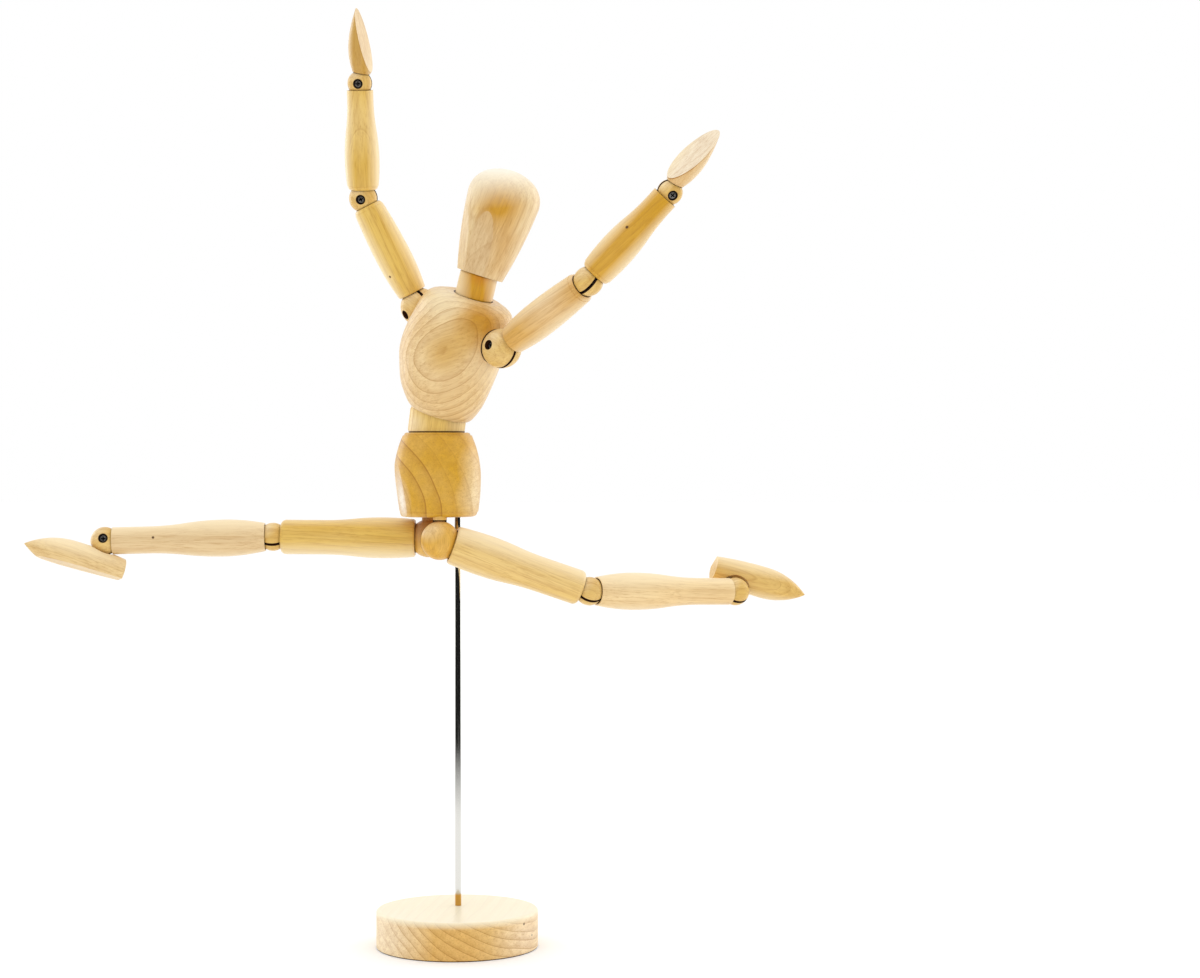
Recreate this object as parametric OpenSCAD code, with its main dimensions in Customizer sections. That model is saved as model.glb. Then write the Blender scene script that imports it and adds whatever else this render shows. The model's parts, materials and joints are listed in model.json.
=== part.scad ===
// Wooden artist's mannequin, posed in a leap and carried on a rod above a round base.
// Lengths are in millimetres and angles in degrees; the origin is the centre of the base's underside.

/* [Stand] */
// Diameter of the round base
base_d = 70; // [50:1:100]
// Height of the base
base_h = 16.5; // [10:0.5:25]
// Rounding of the base's edges
base_edge = 1.2; // [0.4:0.1:3]
// Diameter of the carrying rod
rod_d = 2.7; // [2:0.1:5]
// How far the rod stands behind the middle of the base
rod_off = 7; // [0:0.5:20]
// Height of the pelvis underside above the table
pelvis_lift = 186.4; // [150:0.2:230]

/* [Torso] */
// Height of the pelvis
pelvis_h = 36.5; // [30:0.5:45]
// Widest diameter of the pelvis
pelvis_d = 37.8; // [32:0.2:45]
// Diameter of the pelvis at its top edge
pelvis_top_d = 28.8; // [27:0.2:32]
// Diameter of the pelvis at its underside
pelvis_low_d = 34.8; // [30:0.2:37]
// Height of the widest part of the pelvis
pelvis_widest = 17; // [12:0.5:22]
// How far the rod enters the pelvis behind its axis
rod_behind = 9; // [6:0.1:12]
// Diameter of the waist piece where it shows
waist_d = 24.6; // [20:0.2:27]
// Gap shown between pelvis and chest along the axis
waist_gap = 9; // [6:0.2:14]
// Height of the chest
chest_h = 52.8; // [44:0.4:62]
// Widest breadth of the chest
chest_w = 49.4; // [40:0.2:56]
// Greatest depth of the chest, front to back
chest_t = 38.8; // [32:0.2:46]
// Diameter of the neck where it shows
neck_d = 16.4; // [13:0.2:18]
// Gap shown between chest and head along the axis
neck_gap = 9.6; // [6:0.2:14]
// Length of the head
head_h = 46.7; // [38:0.1:56]
// Widest diameter of the head
head_d = 31.5; // [26:0.1:36]
// Diameter of the head at the chin
chin_d = 20.2; // [18.6:0.1:24]

/* [Limbs] */
// Upper arm from shoulder centre to elbow centre
upper_arm_l = 53; // [42:0.5:62]
// Forearm from elbow centre to wrist centre
forearm_l = 49.5; // [40:0.5:60]
// Hand from wrist centre to fingertips
hand_l = 31.2; // [26:0.2:38]
// Thigh from hip centre to knee centre
thigh_l = 68.5; // [56:0.5:80]
// Shin from knee centre to ankle centre
shin_l = 73.5; // [60:0.5:86]
// Length of the foot
foot_l = 44.5; // [36:0.5:52]
// Half the distance between the shoulder centres
shoulder_out = 28.5; // [27:0.1:34]
// Half the distance between the hip centres
hip_out = 13.5; // [11:0.1:16]

/* [Limb diameters] */
// Upper arm at the shoulder
arm_top_d = 12.4; // [11.6:0.1:14]
// Upper arm at its widest
arm_d = 15.4; // [13.6:0.1:18]
// Arm at the elbow, on both sides
arm_low_d = 13; // [12.2:0.1:13.4]
// Forearm at its widest
forearm_d = 15; // [13.6:0.1:18]
// Forearm at the wrist
wrist_d = 11.3; // [10.6:0.1:13]
// Hand at the wrist
hand_base_d = 7.4; // [6.4:0.1:9]
// Hand at its widest
hand_d = 14.8; // [12:0.1:17]
// Thigh at the hip
thigh_top_d = 16.6; // [14.6:0.1:17.4]
// Thigh at its widest
thigh_d = 18; // [17.6:0.1:20]
// Thigh at the knee
knee_d = 15.2; // [13.2:0.1:16.6]
// Shin at the knee
shin_top_d = 12.4; // [12.2:0.1:14]
// Shin at its widest
shin_d = 16.3; // [14.6:0.1:18]
// Shin at the ankle
ankle_d = 11.9; // [11.8:0.1:13.4]
// Foot at its widest
foot_d = 14.2; // [12:0.1:17]
// Foot at the heel
heel_d = 10.6; // [9:0.1:11.8]

/* [Joints] */
// Diameter of the shoulder and hip balls
big_ball_d = 16.8; // [14:0.2:19]
// Diameter of the elbow, knee and ankle balls
mid_ball_d = 12.4; // [10:0.2:13.6]
// Diameter of the wrist balls
small_ball_d = 10.6; // [9:0.2:11.4]
// Width of the slit between the two halves of a ball
slit = 1.1; // [0.4:0.1:1.6]
// Space between a ball and the cup it turns in
cup_gap = 0.3; // [0.15:0.05:0.5]
// Space all round a dowel or a pin in its hole
hole_gap = 0.06; // [0.03:0.01:0.1]
// Diameter of the screw heads
screw_head_d = 3.6; // [3:0.1:4.4]
// Diameter of the screw shanks
screw_d = 1.8; // [1.4:0.1:2.2]

/* [Pose of the body] */
// Turn of the figure on the rod
figure_turn = -76; // [-180:1:180]
// Lean of the waist piece on the pelvis
waist_lean = -8; // [-12:0.5:12]
// Compass heading of that lean
waist_heading = -40; // [-90:1:90]
// Turn of the chest on the waist piece
chest_turn = 31; // [-60:0.5:60]
// Lean of the chest on the waist piece
chest_lean = -12.5; // [-16:0.5:16]
// Compass heading of that lean
chest_heading = -86; // [-180:1:180]
// Lean of the neck on the chest
neck_lean = 3.5; // [-12:0.5:12]
// Compass heading of that lean
neck_heading = -89; // [-180:1:180]
// Turn of the head on the neck
head_turn = 4; // [-90:0.5:90]
// Lean of the head on the neck
head_lean = -6; // [-12:0.5:12]
// Compass heading of that lean
head_heading = 4; // [-180:1:180]

/* [Pose of the left arm] */
// Swivel of the shoulder in the chest
left_shoulder_swivel = -96.5; // [-180:0.5:180]
// Bend of the shoulder on its screw
left_shoulder_hinge = 51; // [-75:0.5:75]
// Twist of the upper arm on its dowel
left_upper_arm_twist = 148; // [-180:0.5:180]
// Bend of the elbow on its screw
left_elbow_hinge = -25.5; // [-60:0.5:60]
// Twist of the forearm on its dowel
left_forearm_twist = 92.5; // [-180:0.5:180]
// Bend of the wrist on its screw
left_wrist_hinge = -5; // [-60:0.5:60]
// Twist of the hand on its dowel
left_hand_twist = 12; // [-180:0.5:180]

/* [Pose of the left leg] */
// Swivel of the hip under the pelvis
left_hip_swivel = 6; // [-40:0.5:40]
// Bend of the hip on its screw
left_hip_hinge = 71; // [-95:0.5:95]
// Twist of the thigh on its dowel
left_thigh_twist = 129.5; // [-180:0.5:180]
// Bend of the knee on its screw
left_knee_hinge = -26; // [-60:0.5:60]
// Twist of the shin on its dowel
left_shin_twist = 5; // [-180:0.5:180]
// Bend of the ankle on its screw
left_ankle_hinge = -68.5; // [-85:0.5:85]
// Twist of the foot on its dowel
left_foot_twist = 179; // [-180:0.5:180]

/* [Pose of the right arm] */
// Swivel of the shoulder in the chest
right_shoulder_swivel = 58; // [-180:0.5:180]
// Bend of the shoulder on its screw
right_shoulder_hinge = 58.5; // [-75:0.5:75]
// Twist of the upper arm on its dowel
right_upper_arm_twist = 48.5; // [-180:0.5:180]
// Bend of the elbow on its screw
right_elbow_hinge = 26.5; // [-60:0.5:60]
// Twist of the forearm on its dowel
right_forearm_twist = 2.5; // [-180:0.5:180]
// Bend of the wrist on its screw
right_wrist_hinge = 0; // [-60:0.5:60]
// Twist of the hand on its dowel
right_hand_twist = 173.5; // [-180:0.5:180]

/* [Pose of the right leg] */
// Swivel of the hip under the pelvis
right_hip_swivel = 14.5; // [-40:0.5:40]
// Bend of the hip on its screw
right_hip_hinge = -90.5; // [-95:0.5:95]
// Twist of the thigh on its dowel
right_thigh_twist = 58; // [-180:0.5:180]
// Bend of the knee on its screw
right_knee_hinge = 3.5; // [-60:0.5:60]
// Twist of the shin on its dowel
right_shin_twist = 136.5; // [-180:0.5:180]
// Bend of the ankle on its screw
right_ankle_hinge = -76.5; // [-85:0.5:85]
// Twist of the foot on its dowel
right_foot_twist = 156; // [-180:0.5:180]

/* [Hidden] */
$fa = 1;
$fs = 0.4;
wood = [0.88, 0.73, 0.52];
pale_wood = [0.91, 0.79, 0.6];
brass = [0.78, 0.62, 0.3];
steel = [0.72, 0.74, 0.76];
spring_steel = [0.45, 0.46, 0.48];

// Larger than any piece, for cutting away whole sides
far = 200;

big_r = big_ball_d / 2;
mid_r = mid_ball_d / 2;
small_r = small_ball_d / 2;
// Radii of the dowels that carry a ball half in a limb
big_dowel_r = 0.36 * big_r;
mid_dowel_r = 0.36 * mid_r;
small_dowel_r = 0.34 * small_r;
// A dowel is full round only beyond the sweep of the other half
sweep_gap = 0.4;
// How far a dowel goes into the wood, in ball radii from the ball's centre
dowel_reach_ratio = 2.1;
// How much deeper than its dowel a hole is drilled
drill_past = 1;

// Distance from a ball's centre to the rim of the limb that holds it
shoulder_rim = 0.82 * big_r;
hip_rim = 0.7 * big_r;
mid_rim = 0.56 * mid_r;
small_rim = 0.56 * small_r;
hand_rim = 0.8 * small_r;

screw_seat_ratio = 0.63;
screw_head_h = 1.3;
counterbore_gap = 0.25;
cross_w = 0.55;
cross_l = 2.1;
cross_depth = 0.7;

// The rod's two ends, in the base and in the pelvis
rod_in_base = 12;
rod_in_pelvis = 24;

// Waist and neck pieces: the ball that turns in the two cups shows as a plain band between them
waist_ball_r = norm([waist_d / 2, waist_gap / 2]);
neck_ball_r = norm([neck_d / 2, neck_gap / 2]);
chest_low = waist_gap / 2 + cup_gap / 2;
chest_top = chest_low + chest_h;
neck_up = chest_top + neck_gap / 2;
head_low = neck_gap / 2;
head_top = head_low + head_h;
waist_up = pelvis_h + waist_gap / 2;
shoulder_up = chest_low + 0.73 * chest_h;
shoulder_fore = 2.5;
hip_fore = 1.4;
hip_clear = 1.5;
hip_drop = big_r + hip_clear;

// Rounding of the limb ends that are turned over, and of the upper arm's top
limb_edge = 2;
shoulder_edge = 0.5;
// The palm's flat: its distance from the hand's axis at the wrist and at the fingertips
palm_base = 5.4;
palm_tip = -0.4;
// The hand's turning axis: its shift and tilt towards the palm, and its thickness past the fingertips
hand_shift = 0.8;
hand_tilt = 10.3;
hand_end_d = 10.6;
hand_rings = 24;
// Foot: sole below the ankle, height of its turning axis above the sole, heel behind the ankle
sole_drop = 14.6;
foot_axis_up = 3.9;
heel_back = 10.6;
// The foot's cup clears the rim of the shin as well as the ball
foot_cup_r = norm([ankle_d / 2, mid_rim]) + 1.7 * cup_gap;

// Which way along its hinge line each joint's screw head faces
left_shoulder_head_side = 1;
left_elbow_head_side = 1;
left_wrist_head_side = -1;
left_hip_head_side = -1;
left_knee_head_side = 1;
left_ankle_head_side = 1;
right_shoulder_head_side = -1;
right_elbow_head_side = -1;
right_wrist_head_side = -1;
right_hip_head_side = 1;
right_knee_head_side = -1;
right_ankle_head_side = -1;

// Springs run in these bores and touch nothing
spring_bore_r = 3.1;
spring_r = 1.2;
spring_wire_r = 0.32;
spring_turns = 9;
spring_sides = 6;
spring_steps = 14;
waist_bore = 20;
neck_bore = 14;
// The spring ends are hooked just short of the bottoms of their bores
spring_end_gap = 0.3;
waist_spring_half = waist_bore - spring_wire_r - spring_end_gap;
neck_spring_half = neck_bore - spring_wire_r - spring_end_gap;
hip_bore = 21;
// Wider bores in the waist and neck pieces let the springs bend
bend_bore_r = 4.6;
// Dowel of the ankle in the foot, from the ankle's centre
foot_reach = 11.2;

function turn_x(a) = [[1, 0, 0, 0], [0, cos(a), -sin(a), 0], [0, sin(a), cos(a), 0], [0, 0, 0, 1]];
function turn_y(a) = [[cos(a), 0, sin(a), 0], [0, 1, 0, 0], [-sin(a), 0, cos(a), 0], [0, 0, 0, 1]];
function turn_z(a) = [[cos(a), -sin(a), 0, 0], [sin(a), cos(a), 0, 0], [0, 0, 1, 0], [0, 0, 0, 1]];
function shift(v) = [[1, 0, 0, v.x], [0, 1, 0, v.y], [0, 0, 1, v.z], [0, 0, 0, 1]];
function lean(a, heading) = turn_z(heading) * turn_x(a) * turn_z(-heading);

// Frames of the body, from the rod upwards: x is the figure's left, y its back, z up
pelvis_frame = shift([0, rod_off, 0]) * turn_z(figure_turn) * shift([0, -rod_behind, pelvis_lift]);
waist_frame = pelvis_frame * shift([0, 0, waist_up]) * lean(waist_lean, waist_heading);
waist_turned = waist_frame * turn_z(chest_turn);
chest_frame = waist_turned * lean(chest_lean, chest_heading);
neck_frame = chest_frame * shift([0, 0, neck_up]) * lean(neck_lean, neck_heading);
neck_turned = neck_frame * turn_z(head_turn);
head_frame = neck_turned * lean(head_lean, head_heading);

// Frames of a limb: z runs along it and x along the screw of the joint it starts from
function shoulder_seat(s) =
    chest_frame * shift([s * shoulder_out, -shoulder_fore, shoulder_up]) * turn_y(90 * s);
function hip_seat(s) = pelvis_frame * shift([s * hip_out, -hip_fore, -hip_drop]) * turn_x(180);
function next(frame, length, hinge, twist) = frame * shift([0, 0, length]) * turn_x(hinge) * turn_z(twist);

left_shoulder = shoulder_seat(1) * turn_z(left_shoulder_swivel);
left_upper_arm_frame = next(left_shoulder, 0, left_shoulder_hinge, left_upper_arm_twist);
left_forearm_frame = next(left_upper_arm_frame, upper_arm_l, left_elbow_hinge, left_forearm_twist);
left_hand_frame = next(left_forearm_frame, forearm_l, left_wrist_hinge, left_hand_twist);
right_shoulder = shoulder_seat(-1) * turn_z(right_shoulder_swivel);
right_upper_arm_frame = next(right_shoulder, 0, right_shoulder_hinge, right_upper_arm_twist);
right_forearm_frame = next(right_upper_arm_frame, upper_arm_l, right_elbow_hinge, right_forearm_twist);
right_hand_frame = next(right_forearm_frame, forearm_l, right_wrist_hinge, right_hand_twist);
left_hip = hip_seat(1) * turn_z(left_hip_swivel);
left_thigh_frame = next(left_hip, 0, left_hip_hinge, left_thigh_twist);
left_shin_frame = next(left_thigh_frame, thigh_l, left_knee_hinge, left_shin_twist);
left_foot_frame = next(left_shin_frame, shin_l, left_ankle_hinge, left_foot_twist);
right_hip = hip_seat(-1) * turn_z(right_hip_swivel);
right_thigh_frame = next(right_hip, 0, right_hip_hinge, right_thigh_twist);
right_shin_frame = next(right_thigh_frame, thigh_l, right_knee_hinge, right_shin_twist);
right_foot_frame = next(right_shin_frame, shin_l, right_ankle_hinge, right_foot_twist);

left_elbow = left_upper_arm_frame * shift([0, 0, upper_arm_l]);
left_wrist = left_forearm_frame * shift([0, 0, forearm_l]);
left_knee = left_thigh_frame * shift([0, 0, thigh_l]);
left_ankle = left_shin_frame * shift([0, 0, shin_l]);
right_elbow = right_upper_arm_frame * shift([0, 0, upper_arm_l]);
right_wrist = right_forearm_frame * shift([0, 0, forearm_l]);
right_knee = right_thigh_frame * shift([0, 0, thigh_l]);
right_ankle = right_shin_frame * shift([0, 0, shin_l]);

// Sides of the large circles whose arcs make the turned outlines
outline_sides = 720;

// Radius of the arc that leaves a widest radius square on and has fallen by drop after a run
function arc_r(run, drop) = (run * run + drop * drop) / (2 * drop);

// Half outline of a turned barrel: radius r0 at z0, widest at zm, r1 at z1
module barrel_outline(z0, r0, zm, rm, z1, r1) {
    low_r = arc_r(zm - z0, rm - r0);
    high_r = arc_r(z1 - zm, rm - r1);
    intersection() {
        translate([rm - low_r, zm])
            circle(r = low_r, $fn = outline_sides);
        translate([0, z0])
            square([rm + 1, zm - z0]);
    }
    intersection() {
        translate([rm - high_r, zm])
            circle(r = high_r, $fn = outline_sides);
        translate([0, zm])
            square([rm + 1, z1 - zm]);
    }
}

// What rounding takes off an outline's corner at radius r and height z; up is 1 for a top corner
module corner_waste(r, z, rounding, up) {
    difference() {
        translate([r - rounding, up > 0 ? z - rounding : z - 1])
            square([rounding + 1, rounding + 1]);
        translate([r - rounding, z - up * rounding])
            circle(r = rounding);
    }
}

// Half outline of a limb with a swell: r0 at z0, widest at zm,
// then an easy S down to rs at zs and straight on to z1
module swelling_outline(z0, r0, zm, rm, zs, rs, z1) {
    bend_z = (zm + zs) / 2;
    bend_r = arc_r(bend_z - zm, (rm - rs) / 2);
    barrel_outline(z0, r0, zm, rm, bend_z, (rm + rs) / 2);
    difference() {
        translate([0, bend_z])
            square([(rm + rs) / 2, zs - bend_z]);
        translate([rs + bend_r, zs])
            circle(r = bend_r, $fn = outline_sides);
    }
    translate([0, zs])
        square([rs, z1 - zs]);
}

// Turned limb between two balls, cupped and drilled at both ends; the child is its half outline
module cupped_limb(length, ball0, dowel0, ball1, dowel1) {
    difference() {
        rotate_extrude()
            children();
        sphere(r = ball0 + cup_gap);
        cylinder(r = dowel0 + hole_gap, h = dowel_reach_ratio * ball0 + drill_past);
        translate([0, 0, length]) {
            sphere(r = ball1 + cup_gap);
            rotate([180, 0, 0])
                cylinder(r = dowel1 + hole_gap, h = dowel_reach_ratio * ball1 + drill_past);
        }
    }
}

// One half of a split ball with its dowel: side is the half's side along the screw,
// way is the dowel's way along z
module ball_half(r, dowel_r, side, way, reach, headed) {
    shank = screw_d / 2 + hole_gap;
    difference() {
        union() {
            intersection() {
                union() {
                    sphere(r = r);
                    rotate([way > 0 ? 0 : 180, 0, 0])
                        cylinder(r = dowel_r, h = reach);
                }
                translate([side > 0 ? slit / 2 : -far - slit / 2, -far / 2, -far / 2])
                    cube(far);
            }
            rotate([way > 0 ? 0 : 180, 0, 0])
                translate([0, 0, r + sweep_gap])
                    cylinder(r = dowel_r, h = reach - r - sweep_gap);
        }
        rotate([0, side * 90, 0])
            cylinder(r = shank, h = headed ? r : screw_tip(r) + drill_past / 2);
        if (headed)
            rotate([0, side * 90, 0])
                translate([0, 0, screw_seat_ratio * r])
                    cylinder(r = screw_head_d / 2 + counterbore_gap, h = r);
    }
}

function screw_tip(r) = 0.7 * r;

// Cross-head screw through a ball, its head on the given side
module ball_screw(r, side) {
    seat = screw_seat_ratio * r + hole_gap;
    rotate([0, side * 90, 0]) {
        translate([0, 0, -screw_tip(r)])
            cylinder(r = screw_d / 2, h = seat + screw_tip(r));
        difference() {
            intersection() {
                translate([0, 0, seat])
                    cylinder(r = screw_head_d / 2, h = screw_head_h);
                translate([0, 0, seat + screw_head_h - 1.5 * screw_head_d])
                    sphere(r = 1.5 * screw_head_d);
            }
            for (a = [0, 90])
                rotate([0, 0, a])
                    translate([-cross_l / 2, -cross_w / 2, seat + screw_head_h - cross_depth])
                        cube([cross_l, cross_w, 1 + cross_depth]);
        }
    }
}

function bezier(a, b, c, t) = (1 - t) * (1 - t) * a + 2 * t * (1 - t) * b + t * t * c;
function spread(v) = v / norm(v);

// Coil spring whose middle line bends from a by way of b to c
module spring(a, b, c) {
    along = spread(c - a);
    out = spread(cross(along, [0.3, 1, 0.2]));
    over = cross(along, out);
    steps = spring_turns * spring_steps;
    points = [
        for (i = [0:steps])
            let (
                turn = 360 * i / spring_steps,
                radial = cos(turn) * out + sin(turn) * over,
                middle = bezier(a, b, c, i / steps) + spring_r * radial
            )
            for (k = [0:spring_sides - 1])
                let (round = 360 * k / spring_sides)
                middle + spring_wire_r * (cos(round) * radial + sin(round) * along)
    ];
    faces = [
        [for (k = [spring_sides - 1:-1:0]) k],
        [for (k = [0:spring_sides - 1]) steps * spring_sides + k],
        for (i = [0:steps - 1])
            for (k = [0:spring_sides - 1])
                let (
                    p = i * spring_sides + k,
                    q = i * spring_sides + (k + 1) % spring_sides
                )
                each [[p, q, p + spring_sides], [q, q + spring_sides, p + spring_sides]]
    ];
    color(spring_steel)
        polyhedron(points, faces);
}

function place(frame, v) = [for (row = [0:2]) (frame * [v.x, v.y, v.z, 1])[row]];

module base() {
    color(pale_wood)
        difference() {
            rotate_extrude()
                difference() {
                    square([base_d / 2, base_h]);
                    corner_waste(base_d / 2, base_h, base_edge, 1);
                    corner_waste(base_d / 2, 0, base_edge / 2, -1);
                }
            translate([0, rod_off, base_h - rod_in_base])
                cylinder(d = rod_d + 2 * hole_gap, h = base_h);
        }
}

module rod() {
    color(steel)
        translate([0, rod_off, base_h - rod_in_base])
            cylinder(d = rod_d, h = pelvis_lift + rod_in_pelvis - base_h + rod_in_base);
}

// The flat on the front of the pelvis: its distance from the axis at the underside, and its slope
pelvis_flat = 0.845;
pelvis_flat_slope = 8.5;
pelvis_edge = 2.2;
pelvis_top_edge = 1.2;

module pelvis() {
    color(wood)
        multmatrix(pelvis_frame)
            difference() {
                rotate_extrude()
                    difference() {
                        barrel_outline(
                            0, pelvis_low_d / 2, pelvis_widest, pelvis_d / 2,
                            pelvis_h, pelvis_top_d / 2
                        );
                        corner_waste(pelvis_low_d / 2, 0, pelvis_edge, -1);
                        corner_waste(pelvis_top_d / 2, pelvis_h, pelvis_top_edge, 1);
                    }
                translate([0, -pelvis_flat * pelvis_low_d / 2, 0])
                    rotate([pelvis_flat_slope, 0, 0])
                        translate([-far / 2, -far, -far / 2])
                            cube(far);
                translate([0, 0, waist_up]) {
                    sphere(r = waist_ball_r + cup_gap);
                    rotate([180, 0, 0])
                        cylinder(r = spring_bore_r, h = waist_bore);
                }
                translate([0, rod_behind, -1])
                    cylinder(d = rod_d + 2 * hole_gap, h = rod_in_pelvis + 1 + drill_past);
                for (s = [-1, 1])
                    translate([s * hip_out, -hip_fore, -1])
                        cylinder(r = big_dowel_r + hole_gap, h = hip_bore + 1);
            }
}

// Short drum with rounded ends that turns in the two cups beside it
module drum(ball_r, band_r) {
    difference() {
        intersection() {
            sphere(r = ball_r);
            cylinder(r = band_r, h = far, center = true);
        }
        cylinder(r = bend_bore_r, h = far, center = true);
    }
}

module waist() {
    color(wood)
        multmatrix(waist_frame)
            drum(waist_ball_r, waist_d / 2);
}

module neck() {
    color(wood)
        multmatrix(neck_frame)
            drum(neck_ball_r, neck_d / 2);
}

// Sections of the chest going up: height, half breadth, half depth, and how far the middle lies forward
chest_rim_wall = 1.1;
chest_rim_r = waist_d / 2 + chest_rim_wall;
chest_a = chest_w / 2;
chest_b = chest_t / 2;
// How far the middle of the chest stands forward where it is fullest
chest_fore = 4;
chest_sections = [
    [0, chest_rim_r, chest_rim_r, 0],
    [0.045 * chest_h, 0.67 * chest_a, 0.74 * chest_b, 0.25 * chest_fore],
    [0.16 * chest_h, 0.835 * chest_a, 0.85 * chest_b, 0.6 * chest_fore],
    [0.29 * chest_h, 0.925 * chest_a, 0.925 * chest_b, 0.825 * chest_fore],
    [0.44 * chest_h, 0.992 * chest_a, 0.99 * chest_b, chest_fore],
    [0.61 * chest_h, chest_a, chest_b, 0.825 * chest_fore],
    [0.78 * chest_h, 0.955 * chest_a, 0.975 * chest_b, 0.45 * chest_fore],
    [0.9 * chest_h, 0.89 * chest_a, 0.94 * chest_b, 0.25 * chest_fore],
    [0.965 * chest_h, 0.765 * chest_a, 0.825 * chest_b, 0.15 * chest_fore],
    [chest_h, 0.535 * chest_a, 0.61 * chest_b, 0.075 * chest_fore]
];
chest_steps = 3;
chest_sides = 44;

// Smooth curve through the middle two of four neighbours
function through(a, b, c, d, t) =
    0.5 * (2 * b + t * (c - a) + t * t * (2 * a - 5 * b + 4 * c - d) + t * t * t * (3 * b - a - 3 * c + d));

function smooth_sections(rows) = [
    for (i = [0:len(rows) - 2])
        for (k = [0:chest_steps - 1])
            through(
                rows[max(i - 1, 0)], rows[i], rows[i + 1], rows[min(i + 2, len(rows) - 1)],
                k / chest_steps
            ),
    rows[len(rows) - 1]
];

module chest_block() {
    rows = smooth_sections(chest_sections);
    last = len(rows) - 1;
    points = [
        for (row = rows)
            for (k = [0:chest_sides - 1])
                let (turn = 360 * k / chest_sides)
                [row[1] * cos(turn), row[2] * sin(turn) - row[3], chest_low + row[0]]
    ];
    faces = [
        [for (k = [0:chest_sides - 1]) k],
        [for (k = [chest_sides - 1:-1:0]) last * chest_sides + k],
        for (i = [0:last - 1])
            for (k = [0:chest_sides - 1])
                let (
                    p = i * chest_sides + k,
                    q = i * chest_sides + (k + 1) % chest_sides
                )
                each [[q, p, p + chest_sides], [q, p + chest_sides, q + chest_sides]]
    ];
    polyhedron(points, faces);
}

module chest() {
    color(wood)
        multmatrix(chest_frame)
            difference() {
                chest_block();
                sphere(r = waist_ball_r + cup_gap);
                cylinder(r = spring_bore_r, h = waist_bore);
                translate([0, 0, neck_up]) {
                    sphere(r = neck_ball_r + cup_gap);
                    rotate([180, 0, 0])
                        cylinder(r = spring_bore_r, h = neck_bore);
                }
                translate([0, -shoulder_fore, shoulder_up]) {
                    rotate([0, 90, 0])
                        cylinder(r = big_dowel_r + hole_gap, h = far, center = true);
                    for (s = [-1, 1])
                        translate([s * shoulder_out, 0, 0])
                            sphere(r = big_r + cup_gap);
                }
            }
}

// The head's outline: a slightly swelling cone from the chin, a rounded brow and a flatter crown
brow_ratio = 0.73;
crown_ratio = 1.28;
cheek_turn = 25;
cheek_ratio = 0.906;
cheek_slope = 12.6;
chin_swell = 0.75;

module head_outline() {
    r = head_d / 2;
    brow = brow_ratio * r;
    crown = crown_ratio * r;
    reach = crown - brow;
    brow_z = head_top - crown + sqrt(reach * reach - (r - brow) * (r - brow));
    crown_end = crown * (r - brow) / reach;
    chord = norm([r - chin_d / 2, brow_z - head_low]);
    side_r = (chord * chord / 4 + chin_swell * chin_swell) / (2 * chin_swell);
    tilt = atan2(r - chin_d / 2, brow_z - head_low);
    intersection() {
        translate([(r + chin_d / 2) / 2, (brow_z + head_low) / 2])
            rotate(-tilt)
                translate([chin_swell - side_r, 0])
                    circle(r = side_r, $fn = outline_sides);
        translate([0, head_low])
            square([r + 1, brow_z - head_low]);
    }
    intersection() {
        translate([r - brow, brow_z])
            circle(r = brow);
        translate([0, brow_z])
            square([r + 1, head_h]);
    }
    intersection() {
        translate([0, head_top - crown])
            circle(r = crown);
        translate([0, brow_z])
            square([crown_end, head_h]);
    }
}

module head() {
    color(wood)
        multmatrix(head_frame)
            difference() {
                rotate_extrude()
                    head_outline();
                for (s = [-1, 1])
                    rotate([0, 0, s * cheek_turn])
                        translate([0, -cheek_ratio * chin_d / 2, head_low])
                            rotate([cheek_slope, 0, 0])
                                translate([-far / 2, -far, -far / 2])
                                    cube(far);
                sphere(r = neck_ball_r + cup_gap);
                cylinder(r = spring_bore_r, h = neck_bore);
            }
}

module upper_arm_blank() {
    top = upper_arm_l - mid_rim;
    cupped_limb(upper_arm_l, big_r, big_dowel_r, mid_r, mid_dowel_r)
        difference() {
            barrel_outline(shoulder_rim, arm_top_d / 2, 0.46 * upper_arm_l, arm_d / 2, top, arm_low_d / 2);
            corner_waste(arm_top_d / 2, shoulder_rim, shoulder_edge, -1);
            corner_waste(arm_low_d / 2, top, limb_edge, 1);
        }
}

module forearm_blank() {
    cupped_limb(forearm_l, mid_r, mid_dowel_r, small_r, small_dowel_r)
        difference() {
            swelling_outline(
                mid_rim, arm_low_d / 2, 0.34 * forearm_l, forearm_d / 2,
                0.85 * forearm_l, wrist_d / 2, forearm_l - small_rim
            );
            corner_waste(arm_low_d / 2, mid_rim, limb_edge, -1);
        }
}

module thigh_blank() {
    top = thigh_l - mid_rim;
    cupped_limb(thigh_l, big_r, big_dowel_r, mid_r, mid_dowel_r)
        difference() {
            swelling_outline(
                hip_rim, thigh_top_d / 2, 0.3 * thigh_l, thigh_d / 2,
                0.66 * thigh_l, knee_d / 2, top
            );
            corner_waste(thigh_top_d / 2, hip_rim, 0.8, -1);
            corner_waste(knee_d / 2, top, 1.2 * limb_edge, 1);
        }
}

module shin_blank() {
    cupped_limb(shin_l, mid_r, mid_dowel_r, mid_r, mid_dowel_r)
        swelling_outline(
            mid_rim, shin_top_d / 2, 0.3 * shin_l, shin_d / 2,
            0.74 * shin_l, ankle_d / 2, shin_l - mid_rim
        );
}

// Radius of the hand's spindle at a height, swelling from the wrist and falling again to the fingertips
hand_widest = 0.47 * hand_l;
hand_low_bend = arc_r(hand_widest, (hand_d - hand_base_d) / 2);
hand_high_bend = arc_r(hand_l - hand_widest, (hand_d - hand_end_d) / 2);
function hand_r(z) =
    let (
        bend = z < hand_widest ? hand_low_bend : hand_high_bend,
        away = z - hand_widest
    )
    hand_d / 2 - bend + sqrt(bend * bend - away * away);

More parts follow.
